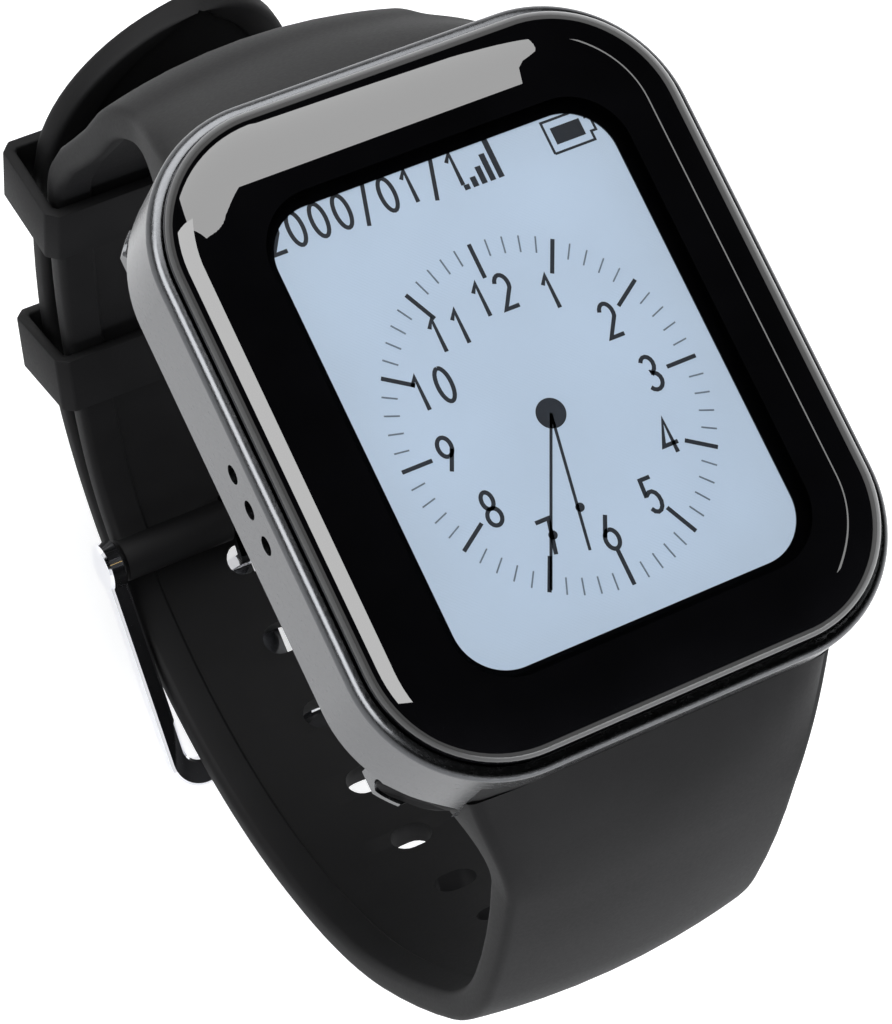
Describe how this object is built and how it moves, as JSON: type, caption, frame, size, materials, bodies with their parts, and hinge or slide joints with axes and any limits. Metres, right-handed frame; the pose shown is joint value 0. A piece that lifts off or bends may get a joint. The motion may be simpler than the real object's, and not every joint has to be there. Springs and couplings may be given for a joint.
{
  "type": "wrist pager",
  "caption": "Watch-style guest pager: a flat rounded-rectangle receiver case with a screen and side keys, on a buckled silicone strap.",
  "frame": {"origin": "middle of the flat back of the case, where it lies on the wrist of the person who wears it", "axes": "+Z out of the screen, +X to the right of the screen (the key side), +Y to 12 o'clock"},
  "size_m": [0.0387, 0.0734, 0.0741],
  "materials": {
    "case_metal": "satin",
    "lens_clear": "clear",
    "mask_black": "gloss",
    "display_face": "satin",
    "tray_white": "matte",
    "board_green": "satin",
    "tinned_steel": "satin",
    "chip_black": "matte",
    "flex_amber": "satin",
    "cell_silver": "satin",
    "seal_rubber": "matte",
    "mesh_black": "matte",
    "gold_plate": "polished",
    "key_metal": "satin",
    "back_plastic": "satin",
    "release_plastic": "satin",
    "strap_silicone": "matte",
    "buckle_chrome": "polished",
    "pin_steel": "polished"
  },
  "bodies": {
    "pager": {"case_frame": "case_metal", "cover_lens": "lens_clear", "lens_mask": "mask_black", "lens_gasket": "seal_rubber", "display_panel": "display_face", "display_tray": "tray_white", "main_board": "board_green", "radio_shield": "tinned_steel", "board_chips": "chip_black", "display_flex": "flex_amber", "battery": "cell_silver", "battery_foam": "seal_rubber", "sounder": "chip_black", "sound_mesh": "mesh_black", "antenna_strip": "gold_plate", "vibration_motor": "tinned_steel", "motor_cradle": "seal_rubber", "key_switches": "tinned_steel", "key_board": "board_green", "back_cover": "back_plastic", "back_seal": "seal_rubber", "back_screws": "pin_steel", "charge_contacts": "gold_plate", "strap_lower": "strap_silicone", "strap_upper": "strap_silicone", "buckle_pin": "pin_steel", "keeper_fixed": "strap_silicone"},
    "key_upper": {"key_upper": "key_metal"},
    "key_lower": {"key_lower": "key_metal"},
    "release_upper": {"release_upper": "release_plastic"},
    "release_lower": {"release_lower": "release_plastic"},
    "motor_weight": {"motor_weight": "tinned_steel"},
    "buckle_frame": {"buckle_frame": "buckle_chrome"},
    "buckle_tang": {"buckle_tang": "buckle_chrome"},
    "keeper_free": {"keeper_free": "strap_silicone"}
  },
  "joints": [
    {"name": "key_upper_press", "type": "slide", "parent": "pager", "child": "key_upper", "axis": [-1, 0, 0], "range_m": [0, 0.00045], "stiffness_N_per_m": 200},
    {"name": "key_lower_press", "type": "slide", "parent": "pager", "child": "key_lower", "axis": [-1, 0, 0], "range_m": [0, 0.00045], "stiffness_N_per_m": 200},
    {"name": "release_upper_press", "type": "slide", "parent": "pager", "child": "release_upper", "axis": [0, 0, 1], "range_m": [0, 0.0005], "stiffness_N_per_m": 200},
    {"name": "release_lower_press", "type": "slide", "parent": "pager", "child": "release_lower", "axis": [0, 0, 1], "range_m": [0, 0.0005], "stiffness_N_per_m": 200},
    {"name": "motor_spin", "type": "hinge", "parent": "pager", "child": "motor_weight", "pos_m": [-0.0095, 0.017, 0.00655], "axis": [1, 0, 0], "continuous": true},
    {"name": "buckle_swing", "type": "hinge", "parent": "pager", "child": "buckle_frame", "pos_m": [0, 0.0111, -0.05176], "axis": [1, 0, 0], "range_deg": [-2, 5]},
    {"name": "tang_swing", "type": "hinge", "parent": "buckle_frame", "child": "buckle_tang", "pos_m": [0, 0.0111, -0.05176], "axis": [1, 0, 0], "range_deg": [0, 4]},
    {"name": "keeper_slide", "type": "hinge", "parent": "pager", "child": "keeper_free", "pos_m": [0, -0.01988, -0.00743], "axis": [1, 0, 0], "range_deg": [-10.2, 0]}
  ]
}
